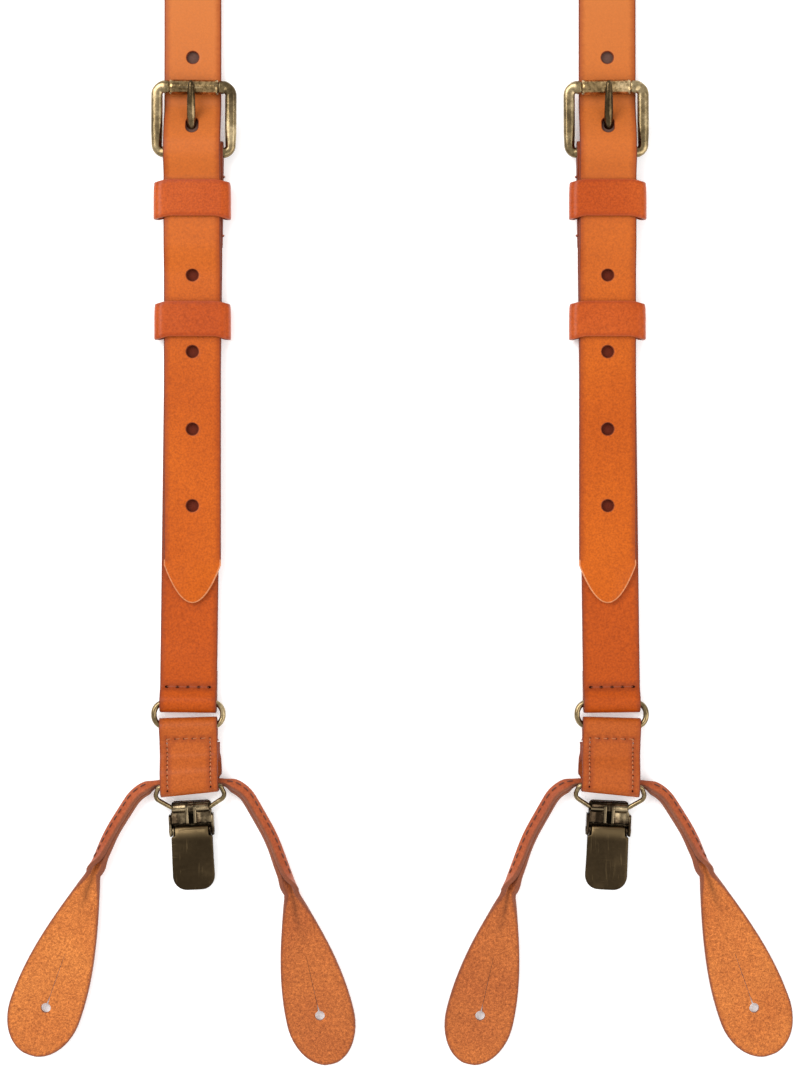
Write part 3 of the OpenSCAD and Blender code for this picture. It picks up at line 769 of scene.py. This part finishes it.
# ---------------------------------------------------------------- rings, tabs and wires
TAB = Path(([[-9.4, 3.45]] + ess(-9.4, 3.45, -4.7, 1.2, 10) + arc((-4.2, 3.6), 2.4, -90, 90, 30)
            + ess(-4.7, 6.0, -9.6, 5.15, 10) + ess(-13.5, 5.15, -20.5, 8.65, 20)
            + arc((-24.7, 6.45), 2.2, 90, 180, 12) + arc((-24.7, 3.1), 2.2, 180, 270, 12)
            + ess(-20.5, 0.9, -13.5, 3.45, 20) + [[-9.9, 3.45]])[::-1])


def tabmap(u, v, w):
    """The lower end hangs a little askew, and the back layer shows past one edge."""
    q = profile_map(TAB)(u, v, w)
    q[:, 1] += 0.075 * q[:, 0] * smooth_step((-13 - q[:, 1]) / 9)
    back = smooth_step((3.6 - q[:, 2]) / 1.2) * smooth_step((-8.5 - q[:, 1]) / 2)
    q[:, 0] += 0.95 * back * smooth_step((q[:, 1] + 22.5) / 1.5)
    return q


def end_tab(side):
    L = TAB.length
    ls = [x for x in np.arange(0, L, 0.7) if 0.5 < x < L - 0.5]
    top, low, cols = TAB.near(-8.2, 5.3), TAB.near(-25.4, 8.5), [-7.5, 7.5]
    vs = np.linspace(top, low, 12)
    us = np.linspace(*cols, 6)
    holes = [(circle(h, 0.3, 10), 0.08) for h in [(x, y) for x in cols for y in vs] + [(x, top) for x in us[1:-1]]]
    g = grid(ls, 10.1, (-0.88, -0.6, -0.3, 0, 0.3, 0.6, 0.88))
    cut = sheet(strap_outline(0, L, ls, 10.1), holes, g, 1.6, 0.36, tabmap)
    cut_piece("end tab " + side, cut, side, 3, [TABL, EDGE], "tab_" + side, "end_tab_" + side)
    pairs = [((x, a), (x + 0.25, a + 0.62 * (b - a))) for x in cols for a, b in zip(vs, vs[1:])]
    pairs += [((a, top), (a + 0.5 * (b - a), top + 0.15)) for a, b in zip(us, us[1:])]
    solid("tab thread " + side, thread(tabmap, 1.6, pairs, 0.15, 0.02), side, 3, THREAD, "tab_" + side,
          "tab_stitching_" + side, slot="thread")


def wires(side):
    c = bent_loop([[-12, -4.2], [12, -4.2], [12, 4.2], [-12, 4.2]], 3.9, 16)
    bar = tube(np.c_[c, np.full(len(c), RING[1])], 1.0, closed=True, n=18)
    solid("ring " + side, bar, side, 2, BRASS, "ring_" + side, "strap_ring_" + side)
    # the clip's wire lies in a plane from the tab's fold down to the clip
    q, a = math.hypot(7.5, 3.45), math.atan2(3.45, 7.5)
    c = bent_loop([[-6.6, -q], [6.6, -q], [12.4, -4.2], [10.8, 0], [-10.8, 0], [-12.4, -4.2]],
                  (2.2, 2.2, 2.4, 1.2, 1.2, 2.4), 8)
    bar = tube(np.c_[c[:, 0], -24.9 + c[:, 1] * math.cos(a), 6.75 + c[:, 1] * math.sin(a)], 0.8, closed=True, n=16)
    solid("clip wire " + side, bar, side, 3, BRASS, "wire_" + side, "clip_wire_" + side)


# ---------------------------------------------------------------- button ears
def arm_line(x0, r1, a1, l1, r2, a2, l2, head, f):
    """From the middle of the tab to the end of one button end, in the ear's plane."""
    r = math.radians
    p = [[0, 0], [x0, 0]]
    p += [[x0 + r1 * math.sin(r(a)), -r1 * (1 - math.cos(r(a)))] for a in np.linspace(0, a1, 20)[1:]]
    q = np.array(p[-1]) + l1 * np.array([math.cos(r(a1)), -math.sin(r(a1))])
    c = q + r2 * np.array([-math.sin(r(a1)), -math.cos(r(a1))])
    p += [(c + r2 * np.array([math.sin(r(a)), math.cos(r(a))])).tolist() for a in np.linspace(a1, a1 + a2, 10)]
    b = r(a1 + a2)
    neck = c + r2 * np.array([math.sin(b), math.cos(b)]) + l2 * np.array([math.cos(b), -math.sin(b)])
    p.append(neck.tolist())
    h = r(head)
    p += [(neck + s * np.array([math.cos(h), -math.sin(h)])).tolist() for s in np.linspace(2, f + 16.7, 30)]
    return np.array(p), neck


RIGHT_ARM = (10.5, 12, 62, 10, 60, 10, 12.1, 78.6, 48)
LEFT_ARM = (10.3, 13, 56, 8, 60, 10, 6.7, 68.8, 54)


def soften(p, n):
    for _ in range(n):
        q = p.copy()
        q[1:-1] = (p[:-2] + 2 * p[1:-1] + p[2:]) / 4
        p = q
    return p


def ear(side):
    ra, rn = arm_line(*RIGHT_ARM)
    la, ln = arm_line(*LEFT_ARM)
    path = Path(soften(Path(np.vstack([(la * [-1, 1])[::-1], ra[1:]])).p, 14))
    mid, s_rn, s_ln, L = path.near(0, 0), path.near(*rn), path.near(-ln[0], ln[1]), path.length

    def flat_half(s, f, h):
        return np.where(s < f, 1.6 + (h - 1.6) * np.sin(np.pi / 2 * np.clip(s / f, 0, 1)) ** 1.05,
                        h * np.sqrt(np.clip(1 - ((s - f) / 16.7) ** 2, 0, 1)))

    def state(v):
        """Half the sheet's width, how far it lies open, and the distance past the arm's neck."""
        v = np.asarray(v, float)
        right = v > mid
        s = np.where(right, v - s_rn, s_ln - v)
        f = np.where(right, 48.0, 54.0)
        h = np.where(right, 11.9, 12.7)
        hw = flat_half(np.maximum(s, 0), f, h)
        out = np.abs(v - mid)
        roll_w = 3.7 + 0.9 * smooth_step((out - 10.5) / 5)
        roll_w = roll_w + 0.6 * smooth_step((s + 14) / 14)
        roll_w = roll_w * (1 - smooth_step((s + 2) / 11))
        hw = np.where(s > 20, hw, np.maximum(np.where(s > 0, hw, 0), roll_w))
        open_ = smooth_step((s + 5) / 19)
        return hw, open_, s

    def m(u, v, w):
        hw, open_, s = state(v)
        P, T = path.at(v)
        inner = -np.c_[-T[:, 1], T[:, 0]]
        # a bend of 2c in the middle of the sheet with straight legs, opening out flat at the button end
        full = math.pi / 2 * (1 - open_) + 0.05 * open_
        c = 1.45 * (1 - open_) + hw * open_
        th = full * np.clip(u / c, -1, 1)
        r, leg = c / full, np.maximum(0, abs(u) - c)
        over = np.sign(u) * leg
        d = r * (1 - np.cos(th)) + leg * np.sin(abs(th)) + w * np.cos(th)
        c = r * np.sin(th) + over * np.cos(th) - w * np.sin(th)
        d = d - 1.55 * (1 - open_)
        # pressed thinner where it turns inside the tab
        slim = 0.62 + 0.38 * smooth_step((np.abs(v - mid) - 12) / 4)
        d, c = d * slim, c * slim
        # psi turns the opening from the inner side to upwards
        psi = np.radians(36 + 54 * smooth_step((s + 14) / 22))
        # the opening's direction and the one across it
        ox, oz = inner * np.cos(psi)[:, None], np.sin(psi)
        cx, cz = -inner * np.sin(psi)[:, None], np.cos(psi)
        pos = P + ox * d[:, None] + cx * c[:, None]
        cup = 0.3 * np.sin(np.clip(s / 60, 0, 1) * np.pi) * smooth_step(s / 20)
        z = oz * d + cz * c + cup + 0.25 * np.sin(v * 0.21 + u * 0.11) * smooth_step(s / 18)
        t = math.radians(1.7)
        return np.c_[pos[:, 0], -23.9 + pos[:, 1] * math.cos(t) - z * math.sin(t),
                     3.9 + pos[:, 1] * math.sin(t) + z * math.cos(t)]

    ls = []
    v = 0.0
    while v < L:
        ls.append(v)
        tip = min(v, L - v)
        v += 0.12 if tip < 0.6 else 0.35 if tip < 1.5 else 0.9 if tip < 8 \
            else 1.1 if s_ln - 20 < v < s_rn + 20 else 2.2
    ls = [x for x in ls if 0.08 < x < L - 0.08]
    hw_ls = state(ls)[0]
    right = [[h, s] for h, s in zip(hw_ls, ls)]
    out = [[0.0, 0.0]] + right + [[0.0, L]] + [[-h, s] for h, s in reversed(right)]
    g = [[c * h, s] for h, s in right for c in (-0.84, -0.66, -0.45, -0.22, 0, 0.22, 0.45, 0.66, 0.84)]
    # a buttonhole in each end: a round hole with a slit running out of it
    holes = []
    for at, sgn in ((s_rn + 47, -1), (s_ln - 53, 1)):
        a = np.radians(np.linspace(10, 350, 28))
        ring = np.c_[1.7 * np.sin(a), at + sgn * 1.7 * np.cos(a)]
        slit = [[-0.07, 4], [-0.07, 12], [-0.05, 20], [0.0, 21.6], [0.05, 20], [0.07, 12], [0.07, 4]]
        slit = [[x, at + sgn * y] for x, y in slit]
        key = np.vstack([ring, slit])
        area = 0.5 * np.sum(key[:, 0] * np.roll(key[:, 1], -1) - np.roll(key[:, 0], -1) * key[:, 1])
        holes.append((key if area > 0 else key[::-1], 0.02))
    seen = []

    def m_keep(u, v, w):
        seen.append((u, v))
        return m(u, v, w)
    v, f, kind, d = sheet(np.array(out), holes, g, 1.8, 0.4, m_keep, ring=False)
    u_, v_ = seen[0]
    s_ = state(v_)[2]
    # painted shade: how dark the fold's crease is painted, near the middle line at the neck
    crease_shade = 0.85 * np.exp(-(u_ / 1.1) ** 2) * smooth_step((s_ + 2) / 4) * (1 - smooth_step((s_ - 6) / 16))
    index = [3 if k == 0 and v_[q[0]] > mid else k for k, q in zip(kind, f)]
    make("button ear " + side, v, f, side, 3, [FLESH, CORD, RAW, INNER], "ear_" + side, ["button_ear_" + side], index,
         {"inset": d, "crease_shade": crease_shade}, slot="suede")
    # stitches on the outer side of the roll
    pairs = [((u0, a + 2.9 * i + 0.3), (u0, a + 2.9 * i + 2.2))
             for a, b, u0 in ((mid + 12.5, s_rn - 2, 2.0), (s_ln + 2, mid - 12.5, 2.0))
             for i in range(int((b - a) / 2.9))]
    solid("ear thread " + side, thread(lambda u, v, w: m(u, v, -w), 1.8, pairs, 0.24, 0.16), side, 3, SEAM,
          "ear_" + side, "ear_stitching_" + side, slot="thread")


# ---------------------------------------------------------------- clips
def clip_map(p):
    """(x, distance towards the free end, height) to the strap's frame"""
    p = np.array(p, float)
    return np.c_[p[:, 0], CLIP_Y - p[:, 1], p[:, 2]]


def plate(prof, outline, t=0.8, r=0.25, hw=7.0, lines=None, cols=(-0.8, -0.4, 0, 0.4, 0.8), bulge=0.0):
    """A sheet metal piece bent along a profile of (distance, height). The outline is (x, length along)."""
    path = Path(prof)

    def m(u, v, w):
        p, t_ = path.at(v)
        dz = bulge * (1 - np.clip(abs(u) / hw, 0, 1) ** 4)
        return clip_map(np.c_[u, p[:, 0] - w * t_[:, 1], p[:, 1] + w * t_[:, 0] + dz])
    ls = lines if lines is not None else np.arange(0.5, path.length, 0.8)
    v, f, _, _ = sheet(outline, [], [[c * hw, s] for s in ls for c in cols], t, r, m)
    # distance runs the other way along Y, so the faces turn over
    return v, [q[::-1] for q in f]


def cheek(x, outline, hole_r, rounding, inner, t, r):
    """A flat side plate standing at x, with the pin's hole through it."""
    v, f, _, _ = sheet(outline, [(circle(PIN, hole_r, 20), rounding)], inner, t, r,
                       lambda u, v, w: clip_map(np.c_[x + w, u, v]), 2)
    return v, f


def rounded(x0, x1, y0, y1, r):
    """A rectangle's outline with a radius for each corner, in short steps."""
    centers = ((x0 + r[0], y0 + r[0]), (x1 - r[1], y0 + r[1]), (x1 - r[2], y1 - r[2]), (x0 + r[3], y1 - r[3]))
    return divided(sum([arc(c, rr, a, a + 90, 8) for c, rr, a in zip(centers, r, (180, 270, 0, 90))], []), 1.2)


def clip(side):
    # back plate with two side cheeks and three ribs
    parts = [plate([[-2.2, 0.4], [27.6, 0.4]], rounded(-7, 7, 0, 29.8, (1.5, 1.5, 3.5, 3.5)))]
    shape = [[2.3, 0.3], [9.9, 0.3], [9.9, 4.2], [9.4, 4.8], [8.8, 5.0], [3.4, 5.0], [2.6, 4.7], [2.3, 4.0]]
    parts += [cheek(x, shape, 0.74, 0.08, [[4, 2.5], [6, 2.5], [9, 1.5]], 0.8, 0.18) for x in (-7.4, 7.4)]
    for k in (22.6, 24.2, 25.8):
        rib = [[x, CLIP_Y - k, z] for x, z in ((-5, 0.75), (-4.8, 0.85), (4.8, 0.85), (5, 0.75))]
        parts.append(tube(rib, 0.42, n=8))
    solid("clip back plate " + side, join(parts), side, 4, CLIPB, "clip_" + side, "clip_back_plate_" + side)
    # front plate: a flat bar over the wire, two hooks, two scooped panels and a slotted strip between them
    xs = np.r_[np.linspace(-6.95, -1.9, 26), np.linspace(-1.75, 1.75, 19), np.linspace(1.9, 6.95, 26)]
    vs = np.r_[np.linspace(-2.05, 1.5, 24), np.linspace(1.7, 5.75, 19)]
    X, V = np.meshgrid(xs, vs)
    ax = abs(X)
    edge = smooth_step((V + 2.05) / 0.45) * smooth_step((5.75 - V) / 0.3)
    narrow = np.where(V < 1.4, 6.35, 6.95)
    X = np.sign(X) * np.minimum(ax, narrow)
    t_ = np.clip((ax - 1.8) / (6.5 - 1.8), 0, 1)
    H = 4.8 - 0.06 * np.maximum(V, 0)
    H = np.where((V > -0.1) & (V < 1.3) & (ax > 1.85), 4.7 + 0.5 * np.sin(np.pi * (V + 0.1) / 1.4), H)
    H = np.where((V >= 1.3) & (ax > 1.85), 4.55 - 0.85 * np.sin(np.pi * t_) ** 0.7 * smooth_step((V - 1.3) / 0.5)
                 + 0.25 * smooth_step((V - 5.2) / 0.8), H)
    strip = (ax <= 1.85) & (V > -0.9)
    H = np.where(strip, 5.2 - 0.05 * V, H)
    H = np.where(strip & (ax < 0.8) & (V > -0.6) & (V < 5.5), 3.7, H)
    H = 3.9 + (H - 3.9) * np.where(H < 3.9, 1, edge)
    k, n = X.shape
    top = np.c_[X.ravel(), V.ravel(), H.ravel()]
    low = np.c_[X.ravel(), V.ravel(), np.full(X.size, 3.45)]
    idx = np.arange(k * n).reshape(k, n)
    f = [(idx[i, j], idx[i + 1, j], idx[i + 1, j + 1], idx[i, j + 1]) for i in range(k - 1) for j in range(n - 1)]
    f += [tuple(q + k * n for q in reversed(p)) for p in f]
    rim = [*idx[0, :-1], *idx[:-1, -1], *idx[-1, :0:-1], *idx[:0:-1, 0]]
    f += [(a, b, b + k * n, a + k * n) for a, b in zip(rim, rim[1:] + rim[:1])]
    barrel = [[-6.2, 1.05], [-6.2, 1.7], [-6.0, 1.9], [6.0, 1.9], [6.2, 1.7], [6.2, 1.05]]
    v1, f1 = turned(barrel, 0, 3.3)
    v, f = join([(clip_map(np.vstack([top, low])), f), (clip_map(v1), f1)])
    # painted highlights on the hooks and the strip's ridges; painted shade, near black in the slot, darker on the
    # flat top bar and at the lower ends of the pockets
    hx, hv = np.tile(abs(X.ravel()), 2), np.tile(V.ravel(), 2)
    hook = (hv > 0.2) & (hv < 1.0) & (hx > 2)
    ridge = (hx > 0.85) & (hx < 1.8) & (hv > -0.8)
    wear, painted_shade = np.zeros(len(v)), np.zeros(len(v))
    wear[:len(hx)] = np.where(hook, 0.5, 0) + np.where(ridge, 0.35, 0)
    painted_shade[:len(hx)] = np.where((hx < 0.8) & (hv > -0.6), 1.0, 0) + np.where((hv < -0.1) & (hx > 0.8), 0.7, 0) \
        + np.where((hv > 5.1) & (hx > 1.8), 0.85, 0)
    solid("clip front plate " + side, (v, f), side, 4, CLIPB, "clip_" + side, "clip_front_plate_" + side,
          attrs={"wear": wear, "painted_shade": painted_shade})
    half = [[7.8, 0.7], [7.8, 1.0], [7.95, 0.9], [7.95, 0.0001]]
    v, f = turned([[-x, r] for x, r in half[::-1]] + half, *PIN)
    solid("clip pin " + side, (clip_map(v), f), side, 4, CLIPB, "clip_" + side, "clip_pin_" + side)
    # lever: knuckle, neck and a wide plate with rounded end corners
    knuckle = [[-5.8, 0.78], [-5.8, 1.4], [-5.65, 1.5], [5.65, 1.5], [5.8, 1.4], [5.8, 0.78]]
    v0, f0 = turned(knuckle, *PIN)
    prof = [[7.4, 4.3], [8.2, 4.66], [9.4, 4.78], [10.6, 4.7], [12, 4.56], [14, 4.42], [20, 4.15], [25, 3.85],
            [27.8, 3.62], [28.7, 3.5]]
    L = Path(prof).length
    edge = [[5.8, 1.2], [5.85, 2.2], [6.1, 2.5], [6.7, 2.6], [7.0, 2.75], [7.15, 3.2]]
    edge += [[7.15 + 0.2 * k / 8, 3.2 + (L - 5.1 - 3.2) * k / 8] for k in range(1, 8)]
    edge += [[2.25 + 5.1 * math.sin(a) ** 0.9, L - 5.1 + 5.1 * math.cos(a)]
             for a in np.radians(np.linspace(90, 0, 12))]
    outline = [[x, 0] for x in (-5.8, -3, 0, 3, 5.8)] + edge + [[1, L], [0, L], [-1, L]]
    outline += [[-x, y] for x, y in edge[::-1]]
    cols = (-0.85, -0.6, -0.3, 0, 0.3, 0.6, 0.85)
    leaf = plate(prof, outline, 0.8, 0.3, 7.2, np.arange(0.6, L - 0.4, 0.9), cols, 0.12)
    v, f = join([(clip_map(v0), f0), leaf])
    # painted highlight: the knuckle and neck lighter, fading out along the plate
    wear = 0.75 * (1 - smooth_step((CLIP_Y - v[:, 1] - 8.2) / 3.2))
    solid("clip lever " + side, (v, f), side, 4, BRONZE, "lever_" + side, "clip_lever_" + side, slot="dark_bronze",
          attrs={"wear": wear})
    # jaw under the lever
    parts = [plate([[10.1, 1.85], [26.8, 1.85]], rounded(-6.8, 6.8, 0, 16.7, (0.5, 0.5, 3.5, 3.5)), 0.7, 0.2, 6.6)]
    shape = [[6.8, 2.7], [8.0, 1.6], [10.9, 1.6], [10.9, 2.2], [9.3, 3.4], [9.05, 4.0], [8.5, 4.55], [7.9, 4.7],
             [7.2, 4.5], [6.7, 3.9], [6.6, 3.3]]
    parts += [cheek(x, shape, 0.76, 0.06, [[9.5, 2.4]], 0.7, 0.14) for x in (-6.4, 6.4)]
    solid("clip jaw " + side, join(parts), side, 4, CLIPB, "jaw_" + side, "clip_jaw_" + side)


for side in ("left", "right", "back"):
    end_tab(side)
    wires(side)
    ear(side)
    clip(side)

# ---------------------------------------------------------------- back strap and patch
BK = Path(ring_fold + [[16, 3.05]] + ess(18, 3.05, 30, 2.4, 10) + [[LENGTH - JOIN_Y - 0.6, 2.4]])
bmap, L = profile_map(BK), BK.length
ring_top = BK.near(4.2, 6.2)
row = ring_top + 5.9
ls = np.r_[np.arange(0, ring_top + 9, 0.6), np.arange(ring_top + 10, L - 1, 6)]
ls = [x for x in ls if 0.5 < x < L - 0.5]
stitches = [(x, row) for x in (-6.8, -3.4, 0, 3.4, 6.8)]
holes = [(circle(h, 0.42, 10), 0.12) for h in stitches]
cut = sheet(strap_outline(0, L, ls, HW), holes, grid(ls, HW), STRAP_T, STRAP_R, bmap)
cut_piece("back strap", cut, "back", 0, [TAN, EDGE], "straps", "back_strap")
solid("back strap thread", thread(bmap, STRAP_T, zip(stitches, stitches[1:]), 0.24, 0.0), "back", 0, KNOT, "straps",
      slot="thread")

half = [[0, -27], [16, -25], [27, -20], [27.5, -14], [22, 4], [15.5, 20], [13.5, 27], [8, 31.5], [0, 33]]
outline = half + [[-x, y] for x, y in half[-2:0:-1]]


def smooth_outline(p, n, step):
    """Cut the corners of a closed line n times, then space its points evenly."""
    p = np.array(p, float)
    for _ in range(n):
        q = []
        for a, b in zip(p, np.roll(p, -1, 0)):
            q += [0.75 * a + 0.25 * b, 0.25 * a + 0.75 * b]
        p = np.array(q)
    loop = Path(np.vstack([p, p[:1]]))
    m = int(loop.length / step)
    return loop.at(np.linspace(0, loop.length, m, endpoint=False))[0]


patch = smooth_outline(outline, 3, 1.6)
stitch = smooth_outline(np.array(outline) * 0.9, 3, 3.2)
g = [[x, y] for x in np.arange(-27, 28, 3.0) for y in np.arange(-27, 34, 3.0)]


def lining_map(u, v, w):
    return np.c_[u, v + JOIN_Y + 1, 0.7 + w]


def patch_map(u, v, w):
    e = edge_distance(np.c_[u, v], [patch])
    return np.c_[u, v + JOIN_Y + 1, 4.3 + w + 0.25 * smooth_step(e / 4)]


cut = sheet(patch, [], g, 1.4, 0.35, lining_map)
cut_piece("patch lining", cut, "mid", 0, [LOWER, EDGE], "straps", "back_lining")
cut = sheet(patch, [(circle(p, 0.4, 8), 0.1) for p in stitch], g, 1.8, 0.4, patch_map)
cut_piece("back patch", cut, "mid", 0, [TAN, EDGE], "straps", "back_patch")
pairs = [(a + 0.1 * (b - a), b - 0.1 * (b - a)) for a, b in zip(stitch, np.roll(stitch, -1, 0))]
solid("patch thread", thread(patch_map, 1.8, pairs, 0.25, 0.1), "mid", 0, THREAD, "straps", "patch_stitching",
      slot="thread")

# ---------------------------------------------------------------- stage, light and camera
me = bpy.data.meshes.new("floor")
me.from_pydata([(-4, -4, 0), (4, -4, 0), (4, 4, 0), (-4, 4, 0)], [], [(0, 1, 2, 3)])
floor = bpy.data.objects.new("floor", me)
bpy.context.scene.collection.objects.link(floor)
m, nt, bs = material("pale floor")
put(bs, {"Base Color": (0.93, 0.93, 0.93, 1), "Roughness": 0.9, "Specular IOR Level": 0.1,
         "Emission Color": (1, 1, 1, 1), "Emission Strength": 0.22})
me.materials.append(m)
floor.location.z = -0.0004

sc = bpy.context.scene
world = bpy.data.worlds.new("studio")
sc.world = world
world.use_nodes = True
bg = world.node_tree.nodes["Background"]
put(bg, {"Color": (1, 1, 1, 1), "Strength": 0.85})


def light(name, loc, size, power):
    """A rectangular lamp facing the middle of the part's front half."""
    d = bpy.data.lights.new(name, "AREA")
    d.shape = "RECTANGLE"
    d.size, d.size_y = size
    d.energy = power
    o = bpy.data.objects.new(name, d)
    sc.collection.objects.link(o)
    o.location = loc
    o.rotation_euler = Vector(np.array((0, -0.39, 0)) - np.array(loc)).to_track_quat("-Z", "Y").to_euler()


light("key", (-0.75, 0.1, 1.1), (0.9, 0.9), 16)
light("fill", (0.95, -0.8, 1.0), (0.8, 1.2), 9)

cam = bpy.data.cameras.new("camera")
cam.lens, cam.sensor_width = 100, 36
cam_o = bpy.data.objects.new("camera", cam)
sc.collection.objects.link(cam_o)
cam_o.location = (0, -0.3945, 1.036)
cam_o.rotation_euler = (0, 0, 0)
cam.clip_start, cam.clip_end = 0.01, 20
sc.camera = cam_o
sc.view_settings.view_transform = "Standard"
